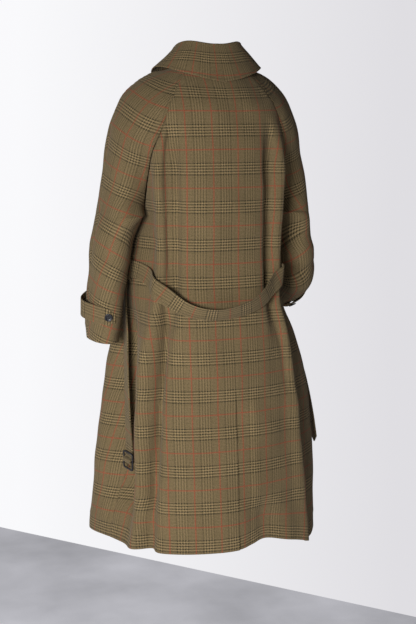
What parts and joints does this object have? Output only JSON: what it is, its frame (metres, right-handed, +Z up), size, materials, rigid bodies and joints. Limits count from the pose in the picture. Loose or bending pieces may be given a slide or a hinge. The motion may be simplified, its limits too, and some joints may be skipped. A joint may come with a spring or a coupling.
{
  "type": "balmacaan coat",
  "caption": "Worn-form hollow raglan overcoat in checked tweed, with a fall collar, an untied belt hung through side loops, cuff tabs and a back vent.",
  "frame": {"origin": "middle of the neck opening, level with the back neck seam, where the wearer's shoulders carry the coat", "axes": "+Z up, -Y the way the wearer faces, +X the wearer's left"},
  "size_m": [0.618, 0.4208, 1.2164],
  "materials": {
    "tweed": "heavy brown and olive wool tweed with a glen check and a thin red overcheck",
    "horn": "near-black polished horn"
  },
  "bodies": {
    "coat": {"back_left": "tweed", "back_right": "tweed", "front_left": "tweed", "front_right": "tweed", "sleeve_left_back": "tweed", "sleeve_left_front": "tweed", "sleeve_right_back": "tweed", "sleeve_right_front": "tweed", "collar": "tweed", "belt_back": "tweed", "belt_end_left": "tweed", "belt_end_right": "tweed", "belt_loop_left": "tweed", "belt_loop_right": "tweed", "cuff_tab_left": "tweed", "cuff_tab_right": "tweed", "button_front_1": "horn", "button_front_2": "horn", "button_front_3": "horn", "button_front_4": "horn", "button_cuff_left": "horn", "button_cuff_right": "horn"},
    "buckle": {"buckle": "horn"}
  },
  "joints": [
    {"name": "buckle_swing", "type": "hinge", "parent": "coat", "child": "buckle", "pos_m": [0.21717, 0.04065, -0.93], "axis": [-0.1045, 0.9945, 0], "range_deg": [0, 30]}
  ]
}
